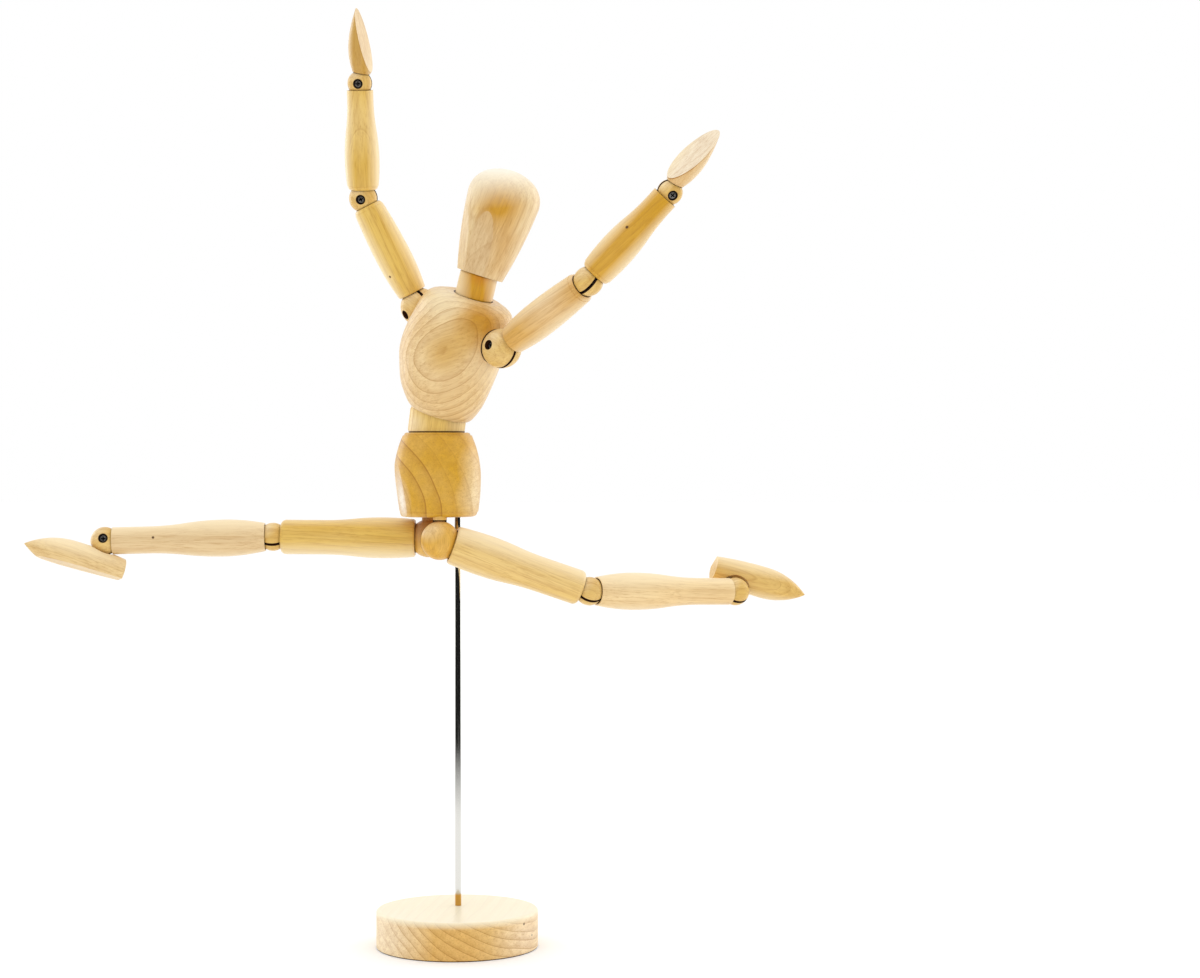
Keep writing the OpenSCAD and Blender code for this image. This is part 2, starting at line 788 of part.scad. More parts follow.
// Hand: a turned spindle on a tilted axis, with its palm cut flat towards the fingertips
module hand_blank() {
    slope = atan((palm_base - palm_tip) / (hand_l - hand_rim));
    difference() {
        translate([0, hand_shift, hand_rim])
            rotate([-hand_tilt, 0, 0])
                rotate_extrude()
                    polygon([
                        [0, 0],
                        for (i = [0:hand_rings]) [hand_r(i / hand_rings * hand_l), i / hand_rings * hand_l],
                        [0, hand_l]
                    ]);
        translate([0, palm_base, hand_rim])
            rotate([slope, 0, 0])
                translate([-far / 2, 0, -far / 2])
                    cube(far);
        sphere(r = small_r + cup_gap);
        cylinder(r = small_dowel_r + hole_gap, h = dowel_reach_ratio * small_r + drill_past);
    }
}

// Foot: a turned spindle lying along y with its sole cut flat, under the ankle at the origin
module foot_blank() {
    difference() {
        translate([0, 0, sole_drop - foot_axis_up])
            rotate([-90, 0, 0])
                rotate_extrude()
                    barrel_outline(
                        -heel_back, heel_d / 2, 0.3 * foot_l, foot_d / 2,
                        foot_l - heel_back, 0
                    );
        translate([-far / 2, -far / 2, sole_drop])
            cube(far);
        sphere(r = foot_cup_r);
        cylinder(r = mid_dowel_r + hole_gap, h = foot_reach + drill_past);
    }
}

module left_upper_arm() {
    color(wood)
        multmatrix(left_upper_arm_frame)
            upper_arm_blank();
}

module left_forearm() {
    color(wood)
        multmatrix(left_forearm_frame)
            forearm_blank();
}

module left_hand() {
    color(wood)
        multmatrix(left_hand_frame)
            hand_blank();
}

module left_thigh() {
    color(wood)
        multmatrix(left_thigh_frame)
            thigh_blank();
}

module left_shin() {
    color(wood)
        multmatrix(left_shin_frame)
            shin_blank();
}

module left_foot() {
    color(wood)
        multmatrix(left_foot_frame)
            foot_blank();
}

module right_upper_arm() {
    color(wood)
        multmatrix(right_upper_arm_frame)
            upper_arm_blank();
}

module right_forearm() {
    color(wood)
        multmatrix(right_forearm_frame)
            forearm_blank();
}

module right_hand() {
    color(wood)
        multmatrix(right_hand_frame)
            hand_blank();
}

module right_thigh() {
    color(wood)
        multmatrix(right_thigh_frame)
            thigh_blank();
}

module right_shin() {
    color(wood)
        multmatrix(right_shin_frame)
            shin_blank();
}

module right_foot() {
    color(wood)
        multmatrix(right_foot_frame)
            foot_blank();
}

module left_shoulder_inner_half() {
    color(pale_wood)
        multmatrix(left_shoulder)
            ball_half(big_r, big_dowel_r, left_shoulder_head_side, -1, dowel_reach_ratio * big_r, true);
}

module left_shoulder_outer_half() {
    color(pale_wood)
        multmatrix(left_shoulder * turn_x(left_shoulder_hinge))
            ball_half(big_r, big_dowel_r, -left_shoulder_head_side, 1, dowel_reach_ratio * big_r, false);
}

module left_shoulder_screw() {
    color(brass)
        multmatrix(left_shoulder)
            ball_screw(big_r, left_shoulder_head_side);
}

module left_elbow_upper_half() {
    color(pale_wood)
        multmatrix(left_elbow)
            ball_half(mid_r, mid_dowel_r, left_elbow_head_side, -1, dowel_reach_ratio * mid_r, true);
}

module left_elbow_lower_half() {
    color(pale_wood)
        multmatrix(left_elbow * turn_x(left_elbow_hinge))
            ball_half(mid_r, mid_dowel_r, -left_elbow_head_side, 1, dowel_reach_ratio * mid_r, false);
}

module left_elbow_screw() {
    color(brass)
        multmatrix(left_elbow)
            ball_screw(mid_r, left_elbow_head_side);
}

module left_wrist_upper_half() {
    color(pale_wood)
        multmatrix(left_wrist)
            ball_half(small_r, small_dowel_r, left_wrist_head_side, -1, dowel_reach_ratio * small_r, true);
}

module left_wrist_lower_half() {
    color(pale_wood)
        multmatrix(left_wrist * turn_x(left_wrist_hinge))
            ball_half(small_r, small_dowel_r, -left_wrist_head_side, 1, dowel_reach_ratio * small_r, false);
}

module left_wrist_screw() {
    color(brass)
        multmatrix(left_wrist)
            ball_screw(small_r, left_wrist_head_side);
}

module left_hip_inner_half() {
    color(pale_wood)
        multmatrix(left_hip)
            ball_half(big_r, big_dowel_r, left_hip_head_side, -1, dowel_reach_ratio * big_r, true);
}

module left_hip_outer_half() {
    color(pale_wood)
        multmatrix(left_hip * turn_x(left_hip_hinge))
            ball_half(big_r, big_dowel_r, -left_hip_head_side, 1, dowel_reach_ratio * big_r, false);
}

module left_hip_screw() {
    color(brass)
        multmatrix(left_hip)
            ball_screw(big_r, left_hip_head_side);
}

module left_knee_upper_half() {
    color(pale_wood)
        multmatrix(left_knee)
            ball_half(mid_r, mid_dowel_r, left_knee_head_side, -1, dowel_reach_ratio * mid_r, true);
}

module left_knee_lower_half() {
    color(pale_wood)
        multmatrix(left_knee * turn_x(left_knee_hinge))
            ball_half(mid_r, mid_dowel_r, -left_knee_head_side, 1, dowel_reach_ratio * mid_r, false);
}

module left_knee_screw() {
    color(brass)
        multmatrix(left_knee)
            ball_screw(mid_r, left_knee_head_side);
}

module left_ankle_upper_half() {
    color(pale_wood)
        multmatrix(left_ankle)
            ball_half(mid_r, mid_dowel_r, left_ankle_head_side, -1, dowel_reach_ratio * mid_r, true);
}

module left_ankle_lower_half() {
    color(pale_wood)
        multmatrix(left_ankle * turn_x(left_ankle_hinge))
            ball_half(mid_r, mid_dowel_r, -left_ankle_head_side, 1, foot_reach, false);
}

module left_ankle_screw() {
    color(brass)
        multmatrix(left_ankle)
            ball_screw(mid_r, left_ankle_head_side);
}

module right_shoulder_inner_half() {
    color(pale_wood)
        multmatrix(right_shoulder)
            ball_half(big_r, big_dowel_r, right_shoulder_head_side, -1, dowel_reach_ratio * big_r, true);
}

module right_shoulder_outer_half() {
    color(pale_wood)
        multmatrix(right_shoulder * turn_x(right_shoulder_hinge))
            ball_half(big_r, big_dowel_r, -right_shoulder_head_side, 1, dowel_reach_ratio * big_r, false);
}

module right_shoulder_screw() {
    color(brass)
        multmatrix(right_shoulder)
            ball_screw(big_r, right_shoulder_head_side);
}

module right_elbow_upper_half() {
    color(pale_wood)
        multmatrix(right_elbow)
            ball_half(mid_r, mid_dowel_r, right_elbow_head_side, -1, dowel_reach_ratio * mid_r, true);
}

module right_elbow_lower_half() {
    color(pale_wood)
        multmatrix(right_elbow * turn_x(right_elbow_hinge))
            ball_half(mid_r, mid_dowel_r, -right_elbow_head_side, 1, dowel_reach_ratio * mid_r, false);
}

module right_elbow_screw() {
    color(brass)
        multmatrix(right_elbow)
            ball_screw(mid_r, right_elbow_head_side);
}

module right_wrist_upper_half() {
    color(pale_wood)
        multmatrix(right_wrist)
            ball_half(small_r, small_dowel_r, right_wrist_head_side, -1, dowel_reach_ratio * small_r, true);
}

module right_wrist_lower_half() {
    color(pale_wood)
        multmatrix(right_wrist * turn_x(right_wrist_hinge))
            ball_half(small_r, small_dowel_r, -right_wrist_head_side, 1, dowel_reach_ratio * small_r, false);
}

module right_wrist_screw() {
    color(brass)
        multmatrix(right_wrist)
            ball_screw(small_r, right_wrist_head_side);
}

module right_hip_inner_half() {
    color(pale_wood)
        multmatrix(right_hip)
            ball_half(big_r, big_dowel_r, right_hip_head_side, -1, dowel_reach_ratio * big_r, true);
}

module right_hip_outer_half() {
    color(pale_wood)
        multmatrix(right_hip * turn_x(right_hip_hinge))
            ball_half(big_r, big_dowel_r, -right_hip_head_side, 1, dowel_reach_ratio * big_r, false);
}

module right_hip_screw() {
    color(brass)
        multmatrix(right_hip)
            ball_screw(big_r, right_hip_head_side);
}

module right_knee_upper_half() {
    color(pale_wood)
        multmatrix(right_knee)
            ball_half(mid_r, mid_dowel_r, right_knee_head_side, -1, dowel_reach_ratio * mid_r, true);
}

module right_knee_lower_half() {
    color(pale_wood)
        multmatrix(right_knee * turn_x(right_knee_hinge))
            ball_half(mid_r, mid_dowel_r, -right_knee_head_side, 1, dowel_reach_ratio * mid_r, false);
}

module right_knee_screw() {
    color(brass)
        multmatrix(right_knee)
            ball_screw(mid_r, right_knee_head_side);
}

module right_ankle_upper_half() {
    color(pale_wood)
        multmatrix(right_ankle)
            ball_half(mid_r, mid_dowel_r, right_ankle_head_side, -1, dowel_reach_ratio * mid_r, true);
}

module right_ankle_lower_half() {
    color(pale_wood)
        multmatrix(right_ankle * turn_x(right_ankle_hinge))
            ball_half(mid_r, mid_dowel_r, -right_ankle_head_side, 1, foot_reach, false);
}

module right_ankle_screw() {
    color(brass)
        multmatrix(right_ankle)
            ball_screw(mid_r, right_ankle_head_side);
}

module waist_spring() {
    middle = place(waist_frame, [0, 0, 0]);
    spring(
        place(pelvis_frame, [0, 0, waist_up - waist_spring_half]),
        middle,
        place(chest_frame, [0, 0, waist_spring_half])
    );
}

module neck_spring() {
    middle = place(neck_frame, [0, 0, 0]);
    spring(
        place(chest_frame, [0, 0, neck_up - neck_spring_half]),
        middle,
        place(head_frame, [0, 0, neck_spring_half])
    );
}

module shoulder_spring() {
    half = shoulder_out - dowel_reach_ratio * big_r - drill_past;
    spring(
        place(chest_frame, [-half, -shoulder_fore, shoulder_up]),
        place(chest_frame, [0, -shoulder_fore, shoulder_up]),
        place(chest_frame, [half, -shoulder_fore, shoulder_up])
    );
}

module hip_spring(s) {
    low = dowel_reach_ratio * big_r - hip_drop + drill_past;
    high = hip_bore - drill_past;
    spring(
        place(pelvis_frame, [s * hip_out, -hip_fore, low]),
        place(pelvis_frame, [s * hip_out, -hip_fore, (low + high) / 2]),
        place(pelvis_frame, [s * hip_out, -hip_fore, high])
    );
}

module left_hip_spring() {
    hip_spring(1);
}

module right_hip_spring() {
    hip_spring(-1);
}

base();
rod();
pelvis();
waist();
chest();
neck();
head();
left_upper_arm();
left_forearm();
left_hand();
left_thigh();
left_shin();
left_foot();
right_upper_arm();
right_forearm();
right_hand();
right_thigh();
right_shin();
right_foot();
left_shoulder_inner_half();
left_shoulder_outer_half();
left_shoulder_screw();
left_elbow_upper_half();
left_elbow_lower_half();
left_elbow_screw();
left_wrist_upper_half();
left_wrist_lower_half();
left_wrist_screw();
left_hip_inner_half();
left_hip_outer_half();
left_hip_screw();
left_knee_upper_half();
left_knee_lower_half();
left_knee_screw();
left_ankle_upper_half();
left_ankle_lower_half();
left_ankle_screw();
right_shoulder_inner_half();
right_shoulder_outer_half();
right_shoulder_screw();
right_elbow_upper_half();
right_elbow_lower_half();
right_elbow_screw();
right_wrist_upper_half();
right_wrist_lower_half();
right_wrist_screw();
right_hip_inner_half();
right_hip_outer_half();
right_hip_screw();
right_knee_upper_half();
right_knee_lower_half();
right_knee_screw();
right_ankle_upper_half();
right_ankle_lower_half();
right_ankle_screw();
waist_spring();
neck_spring();
shoulder_spring();
left_hip_spring();
right_hip_spring();
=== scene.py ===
"""Wooden drawing figure on its stand: turned, sanded pieces with a clear satin finish, in soft studio light."""

import json
import math

import bmesh
import bpy
from mathutils import Matrix, Vector


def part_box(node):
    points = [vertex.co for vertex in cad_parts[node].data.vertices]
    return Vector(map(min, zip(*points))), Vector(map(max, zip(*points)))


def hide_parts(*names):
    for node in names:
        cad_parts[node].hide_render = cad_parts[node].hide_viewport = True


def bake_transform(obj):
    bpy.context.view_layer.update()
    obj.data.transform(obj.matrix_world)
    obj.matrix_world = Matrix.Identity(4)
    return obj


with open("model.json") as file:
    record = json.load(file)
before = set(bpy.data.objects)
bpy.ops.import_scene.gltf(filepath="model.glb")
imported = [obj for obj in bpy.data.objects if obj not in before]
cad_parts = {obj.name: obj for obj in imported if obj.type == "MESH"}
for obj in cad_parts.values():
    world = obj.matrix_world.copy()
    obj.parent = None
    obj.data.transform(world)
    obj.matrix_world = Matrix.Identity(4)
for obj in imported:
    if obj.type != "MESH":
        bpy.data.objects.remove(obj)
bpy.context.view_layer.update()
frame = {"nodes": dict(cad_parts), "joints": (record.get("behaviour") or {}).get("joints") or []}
nodes = frame["nodes"]
joints = {joint["name"]: joint for joint in frame["joints"]}
SIDES = ("left", "right")
UP = Vector((0, 0, 1))
SIDEWAYS = Vector((1, 0, 0))
TOWARDS_VIEW = Vector((0, -1, 0))

# Ball sizes and gaps, in metres as all lengths here
BIG_BALL_R = 0.0084
MID_BALL_R = 0.0062
SMALL_BALL_R = 0.0053
WAIST_BALL_R = 0.0131
NECK_BALL_R = 0.0095
CUP_GAP = 0.0003
# How far the painted shade in a cup reaches past its rim
CUP_RIM = 0.00014
WAIST_GAP = 0.009
SLIT = 0.0011
# How far the painted shade in a slit reaches past its faces
SLIT_EDGE = 0.0001


def pivot(joint):
    """A point on a joint's axis: the middle of its ball."""
    return Vector(joints[joint]["pos_m"])


def axis_of(joint):
    return Vector(joints[joint]["axis"]).normalized()


def middle(node):
    low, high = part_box(node)
    return (low + high) / 2


def srgb(red, green, blue):
    """A colour as a screen shows it, 0 to 255, as the linear values that shaders take."""
    def linear(level):
        share = level / 255
        return share / 12.92 if share <= 0.04045 else ((share + 0.055) / 1.055) ** 2.4
    return (linear(red), linear(green), linear(blue), 1.0)


def grey(level):
    return (level, level, level, 1.0)


def blend(first, second, share):
    return tuple(a + (b - a) * share for a, b in zip(first, second))


# Node helpers. Masks end at the middle of their colour ramp, so that what lies beyond has room on it.

RAMP_END = 0.5
BAND_FULL = 0.455
BAND_EDGE = 1.1
BORE_FULL = 0.49
BORE_EDGE = 0.52


def new_material(name):
    material = bpy.data.materials.new(name)
    material.use_nodes = True
    tree = material.node_tree
    return material, tree, tree.nodes["Principled BSDF"]


def set_sockets(shader, values):
    for socket, value in values.items():
        shader.inputs[socket].default_value = value


def add(tree, kind, inputs=None, **settings):
    """A node with its settings; inputs are sockets to link from or values to set."""
    node = tree.nodes.new(kind)
    for name, value in settings.items():
        setattr(node, name, value)
    for socket, value in (inputs or {}).items():
        if isinstance(value, bpy.types.NodeSocket):
            tree.links.new(value, node.inputs[socket])
        else:
            node.inputs[socket].default_value = value
    return node


def rest_place(tree):
    """Where a point of the surface lies at rest."""
    return add(tree, "ShaderNodeTexCoord").outputs["Object"]


def number_of(tree, operation, *values):
    return add(tree, "ShaderNodeMath", dict(enumerate(values)), operation=operation).outputs[0]


def times(tree, source, amount):
    return number_of(tree, "MULTIPLY", source, amount)


def vector_of(tree, operation, *values):
    return add(tree, "ShaderNodeVectorMath", dict(enumerate(values)), operation=operation).outputs["Vector"]


def length_of(tree, operation, *values):
    """The single number that a vector node gives, such as a distance."""
    return add(tree, "ShaderNodeVectorMath", dict(enumerate(values)), operation=operation).outputs["Value"]


def ramp(tree, source, stops):
    """A colour ramp fed from a socket; stops are (place, colour)."""
    node = add(tree, "ShaderNodeValToRGB", {"Fac": source})
    band = node.color_ramp
    while len(band.elements) < len(stops):
        band.elements.new(0.5)
    for element, (place, colour) in zip(band.elements, stops):
        element.position = place
        element.color = colour
    return node.outputs["Color"]


def mixed(tree, share, first, second):
    return add(tree, "ShaderNodeMix", {0: share, 6: first, 7: second}, data_type="RGBA").outputs[2]


def noise(tree, vector, scale, detail=2.0, rough=0.5):
    return add(tree, "ShaderNodeTexNoise",
               {"Vector": vector, "Scale": scale, "Detail": detail, "Roughness": rough})


def stretched(tree, vector, along):
    """The pattern drawn out along the grain."""
    return add(tree, "ShaderNodeMapping", {"Vector": vector, "Scale": (1.0, 1.0, along)}).outputs["Vector"]


def near(tree, place, point, radius, soft):
    """1 within a radius of a point, falling to 0 over a soft edge."""
    away = length_of(tree, "DISTANCE", place, point)
    reach = number_of(tree, "DIVIDE", away, (radius + soft) / RAMP_END)
    return ramp(tree, reach, [(RAMP_END * radius / (radius + soft), grey(1.0)), (RAMP_END, grey(0.0))])


def plane_distance(tree, place, centre, across):
    depth = length_of(tree, "DOT_PRODUCT", vector_of(tree, "SUBTRACT", place, centre), across)
    return number_of(tree, "ABSOLUTE", depth)


def between(tree, place, centre, across, half):
    """1 within half a width of a plane, 0 beyond."""
    reach = times(tree, plane_distance(tree, place, centre, across), RAMP_END / (BAND_EDGE * half))
    return ramp(tree, reach, [(BAND_FULL, grey(1.0)), (RAMP_END, grey(0.0))])


def inside_bore(tree, place, centre, axis, radius):
    """1 on the wall of a bore about an axis, 0 outside it."""
    round_axis = vector_of(tree, "CROSS_PRODUCT", vector_of(tree, "SUBTRACT", place, centre), axis)
    reach = times(tree, length_of(tree, "LENGTH", round_axis), RAMP_END / radius)
    return ramp(tree, reach, [(BORE_FULL, grey(1.0)), (BORE_EDGE, grey(0.0))])


# Wood

CREAM = srgb(250, 233, 194)
LINE = srgb(172, 114, 30)
SHADE = srgb(70, 34, 4)
PALE = srgb(252, 233, 192)
GOLD = srgb(208, 148, 22)
SPOT = srgb(96, 62, 30)
# Colour of the painted shadow that the pelvis casts on the right hip
UMBER = srgb(150, 76, 24)

CREAM_SHARE = 0.18
LINE_SHARE = 0.06
STREAK_SHARE = 0.24
FLECK_SHARE = 0.4
TINT_FULL = 0.25
SPOT_EDGE = 0.6
# Depth of a facet's painted shading, and width of the painted shadow under its edge
FLAT_DEPTH = 0.00012
FLAT_EDGE_SHADOW = 0.00025

# Darkness from one year ring to the next
LATE_WOOD = ((0.0, 0.0), (0.5, 0.08), (0.88, 0.36), (0.945, 1.0), (1.0, 0.0))
FAINT_RINGS = 0.3
# Radians per metre of a ring pattern at scale 1
RING_RATE = 20
# How far the rings wander: stretch along the grain and scale of the noise
DRIFT = (0.22, 30.0)
# Marks in the grain: stretch along it, scale, detail and roughness of the noise, level where a mark starts and is full
PORES = (0.06, 1700.0, 3.0, 0.65, 0.5, 0.72)
FIBRES = (0.02, 500.0, 3.0, 0.6, 0.36, 0.66)
CLOUDS = (0.25, 70.0, 2.0, 0.5, 0.36, 0.66)

WOOD_ROUGH = (0.36, 0.46)
INSIDE_ROUGH = 0.9
PORE_RELIEF = {"Strength": 0.1, "Distance": 0.0002}
SATIN = {
    "Specular IOR Level": 0.2, "Coat Weight": 0.4, "Coat Roughness": 0.35,
    "Sheen Weight": 0.08, "Sheen Roughness": 0.35, "Sheen Tint": (1.0, 0.96, 0.88, 1.0),
}


def grain_place(tree, place, along, heart):
    """Places with the grain as z and the heart line through the middle."""
    turn = along.normalized().to_track_quat("Z", "Y").to_matrix().transposed()
    return add(tree, "ShaderNodeMapping", {
        "Vector": place, "Rotation": turn.to_euler(), "Location": -(turn @ heart)}).outputs["Vector"]


def year_rings(tree, grain, ring_gap, warp, seed):
    """Dark lines of late wood round the heart line, which wander a little."""
    stretch, scale = DRIFT
    drift = noise(tree, stretched(tree, grain, stretch), scale).outputs["Color"]
    centred = vector_of(tree, "SUBTRACT", drift, (0.5, 0.5, 0.5))
    pushed = add(tree, "ShaderNodeVectorMath", {0: centred, "Scale": warp}, operation="SCALE").outputs["Vector"]
    rings = add(tree, "ShaderNodeTexWave", {
        "Vector": vector_of(tree, "ADD", grain, pushed), "Scale": 2 * math.pi / (RING_RATE * ring_gap),
        "Phase Offset": seed, "Distortion": 0.5, "Detail": 2.0, "Detail Scale": 0.6,
    }, wave_type="RINGS", rings_direction="Z", wave_profile="SAW").outputs["Fac"]
    return ramp(tree, rings, [(place, grey(dark)) for place, dark in LATE_WOOD])


def strong_rings(tree, grain, start, end):
    """1 between two distances from the heart line, fainter within and beyond."""
    across = vector_of(tree, "MULTIPLY", grain, (1.0, 1.0, 0.0))
    reach = times(tree, length_of(tree, "LENGTH", across), RAMP_END / end)
    inner = RAMP_END * start / end
    return ramp(tree, reach, [(0.8 * inner, grey(FAINT_RINGS)), (inner, grey(1.0)),
                              (RAMP_END, grey(1.0)), (1.12 * RAMP_END, grey(FAINT_RINGS))])


def marks(tree, grain, kind):
    """Small marks drawn out along the grain, 1 where they are full."""
    along, scale, detail, rough, start, full = kind
    level = noise(tree, stretched(tree, grain, along), scale, detail, rough).outputs["Fac"]
    return ramp(tree, level, [(start, grey(0.0)), (full, grey(1.0))])


def tinted(tree, colour, place, tints):
    """A colour with soft round patches; tints are (point, radius, colour, share)."""
    for point, radius, tint, share in tints:
        patch = near(tree, place, point, TINT_FULL * radius, (1 - TINT_FULL) * radius)
        colour = mixed(tree, times(tree, patch, share), colour, tint)
    return colour


def wood(name, along, heart, core, ring_gap=0.0028, lines=0.3, warp=0.004, seed=0.0, tints=(), spots=(), cups=(),
         bands=(), holes=(), flats=(), bleached=(), strong=None, sapwood=None, cream=CREAM_SHARE):
    """Turned, sanded wood. The grain runs along one direction, and the year rings go round a heart line through a
    point.

    tints: soft patches under the grain, of tone and of painted light and shade; bleached: soft patches of painted
    light over the grain; both (point, radius, colour, share)
    spots: nail marks, (point, radius)
    cups, bands, holes: painted shade in the insides of the joints and bores and along edges, (middle, radius),
    (middle, axis, half width) and (middle, axis, radius)
    flats: sawn facets with painted shading on them and a painted shadow line under their edge,
    (point, normal, colour, share, darkness of the edge's shadow)
    strong: two distances from the heart line, between which the rings show fully
    sapwood: painted light, paler away from a plane, (middle, axis, from, to, share, colour)
    cream: share of cream in the lighter clouds"""
    material, tree, shader = new_material(name)
    place = rest_place(tree)
    grain = grain_place(tree, place, along, heart)
    fleck = marks(tree, grain, PORES)
    streak = marks(tree, grain, FIBRES)
    cloud = marks(tree, grain, CLOUDS)

    colour = mixed(tree, cloud, blend(core, CREAM, cream), blend(core, LINE, LINE_SHARE))
    colour = tinted(tree, colour, place, tints)
    # Painted shadow in a line under each facet's edge, and painted shading on the facet
    for point, facing, tint, share, edge in flats:
        rim = between(tree, place, point - facing * FLAT_EDGE_SHADOW, facing, FLAT_EDGE_SHADOW)
        colour = mixed(tree, times(tree, rim, edge), colour, LINE)
        colour = mixed(tree, times(tree, between(tree, place, point, facing, FLAT_DEPTH), share), colour, tint)
    line = times(tree, year_rings(tree, grain, ring_gap, warp, seed), lines)
    if strong:
        line = times(tree, line, strong_rings(tree, grain, *strong))
    colour = mixed(tree, line, colour, LINE)
    colour = mixed(tree, times(tree, streak, STREAK_SHARE), colour, LINE)
    colour = mixed(tree, times(tree, fleck, FLECK_SHARE), colour, LINE)
    # Painted light: paler away from a plane, on the sides of the limbs and the neck as seen from the front, and on the
    # base's top
    if sapwood:
        centre, across, start, end, share, tint = sapwood
        away = times(tree, plane_distance(tree, place, centre, across), RAMP_END / end)
        outer = ramp(tree, away, [(RAMP_END * start / end, grey(0.0)), (RAMP_END, grey(1.0))])
        colour = mixed(tree, times(tree, outer, share), colour, tint)
    # Painted light in soft pale patches over the grain
    colour = tinted(tree, colour, place, bleached)
    for point, radius in spots:
        colour = mixed(tree, near(tree, place, point, SPOT_EDGE * radius, SPOT_EDGE * radius), colour, SPOT)

    # Painted shade in the cups round the balls, a little past their rims, on the walls of screw bores, and in bands
    # along slits and lower edges
    painted_shade_masks = [near(tree, place, centre, radius + CUP_GAP + CUP_RIM, CUP_RIM) for centre, radius in cups]
    painted_shade_masks += [inside_bore(tree, place, centre, axis, radius) for centre, axis, radius in holes]
    painted_shade_masks += [between(tree, place, centre, across, half) for centre, across, half in bands]
    smooth, dull = WOOD_ROUGH
    rough = ramp(tree, streak, [(0.0, grey(smooth)), (1.0, grey(dull))])
    for mask in painted_shade_masks:
        colour = mixed(tree, mask, colour, SHADE)
        rough = mixed(tree, mask, rough, grey(INSIDE_ROUGH))
    tree.links.new(colour, shader.inputs["Base Color"])
    tree.links.new(rough, shader.inputs["Roughness"])
    set_sockets(shader, SATIN)
    relief = add(tree, "ShaderNodeBump", {"Height": fleck, **PORE_RELIEF})
    tree.links.new(relief.outputs["Normal"], shader.inputs["Normal"])
    return material


def dress(node, material):
    piece = nodes[node]
    piece.data.materials.clear()
    piece.data.materials.append(material)


# Metal

STEEL = srgb(220, 219, 214)
# Painted golden reflection of the base at the rod's foot
ROD_FOOT = srgb(214, 166, 86)
ROD_FOOT_H = 0.0048
ROD_FOOT_EDGE = 0.001
SCREW_FACE = srgb(122, 118, 113)
SCREW_RECESS_SHADE = srgb(18, 13, 10)
SCREW_RIM_SHADE = srgb(40, 30, 24)
SCREW_BORE_R = 0.0021
SCREW_FACE_R = 0.00135
SCREW_HEAD_H = 0.001
# Share of the head's height where the face ends and the painted shade in the recess is full
RECESS_EDGE = (0.36, 0.44)
WIRE_DARK = srgb(118, 120, 124)
WIRE_LIGHT = srgb(160, 162, 166)


def brushed(tree, shader, vector, scale, smooth, dull):
    """Roughness that varies finely between two values."""
    level = noise(tree, vector, scale).outputs["Fac"]
    tree.links.new(ramp(tree, level, [(0.3, grey(smooth)), (0.7, grey(dull))]), shader.inputs["Roughness"])


def polished_steel():
    """Bright rod, with a painted golden reflection of the base at its foot."""
    material, tree, shader = new_material("polished_steel")
    set_sockets(shader, {"Metallic": 1.0})
    place = rest_place(tree)
    rod = middle("rod")
    foot = near(tree, place, Vector((rod.x, rod.y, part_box("base")[1].z)), ROD_FOOT_H, ROD_FOOT_EDGE)
    tree.links.new(mixed(tree, foot, STEEL, ROD_FOOT), shader.inputs["Base Color"])
    brushed(tree, shader, stretched(tree, place, 0.02), 3000.0, 0.05, 0.1)
    return material


def cross_screw(name, top, inward):
    """Bright screw whose cross recess, below the head's face, has painted shade, and whose rim has the painted shadow
    of its bore.
    """
    material, tree, shader = new_material(name)
    set_sockets(shader, {"Metallic": 0.6})
    place = rest_place(tree)
    depth = length_of(tree, "DOT_PRODUCT", vector_of(tree, "SUBTRACT", place, top), inward)
    reach = number_of(tree, "DIVIDE", depth, SCREW_HEAD_H)
    # Painted shade in the recess and, beyond the face, the painted shadow of the bore on the rim
    colour = ramp(tree, reach, list(zip(RECESS_EDGE, (SCREW_FACE, SCREW_RECESS_SHADE))))
    colour = mixed(tree, inside_bore(tree, place, top, inward, SCREW_FACE_R), SCREW_RIM_SHADE, colour)
    tree.links.new(colour, shader.inputs["Base Color"])
    brushed(tree, shader, place, 2400.0, 0.3, 0.45)
    return material


def spring_wire():
    material, tree, shader = new_material("spring_wire")
    set_sockets(shader, {"Metallic": 1.0, "Roughness": 0.3})
    dull = noise(tree, rest_place(tree), 900.0).outputs["Fac"]
    tree.links.new(ramp(tree, dull, [(0.3, WIRE_DARK), (0.7, WIRE_LIGHT)]), shader.inputs["Base Color"])
    return material


# Stand and trunk

TRUNK_CORE = {
    "base": srgb(248, 218, 152), "pelvis": srgb(226, 173, 40), "waist": srgb(246, 207, 102),
    "chest": srgb(243, 210, 150), "neck": srgb(224, 167, 10), "head": srgb(246, 221, 170),
}
# Pale colour of the base's top, painted light from above
BASE_LIT_TOP = srgb(252, 242, 214)
BASE_GOLD = srgb(228, 172, 66)
BASE_LEFT = srgb(250, 230, 194)
BASE_RIGHT = srgb(250, 226, 192)
# Half width of the painted contact shadow along the base's lower edge
BASE_SHADOW_BAND = 0.0004
PELVIS_FLAT = srgb(253, 244, 224)
PELVIS_SIDE = srgb(246, 224, 176)
# Half width of the painted shadow along the waist's lower edge, over the pelvis
WAIST_SHADOW_BAND = 0.0005
CHEST_AMBER = srgb(222, 174, 82)
CHEST_HONEY = srgb(220, 172, 80)
CHEST_TOP = srgb(253, 238, 196)
NECK_AMBER = srgb(214, 134, 8)
HEAD_GOLD = srgb(217, 159, 20)
HEAD_CROWN = srgb(254, 247, 228)
FRONT_CHEEK = srgb(230, 200, 152)
SIDE_CHEEK = srgb(240, 214, 168)

waist_centre = pivot("chest_lean")
pelvis_cup = pivot("waist_lean")
neck_centre = pivot("neck_lean")
body_up = (neck_centre - waist_centre).normalized()
head_up = (middle("head") - neck_centre).normalized()
shoulders = [pivot(side + "_shoulder_hinge") for side in SIDES]


def dress_trunk(node, along, heart, **more):
    dress(node, wood(node + "_wood", along, heart, TRUNK_CORE[node], **more))


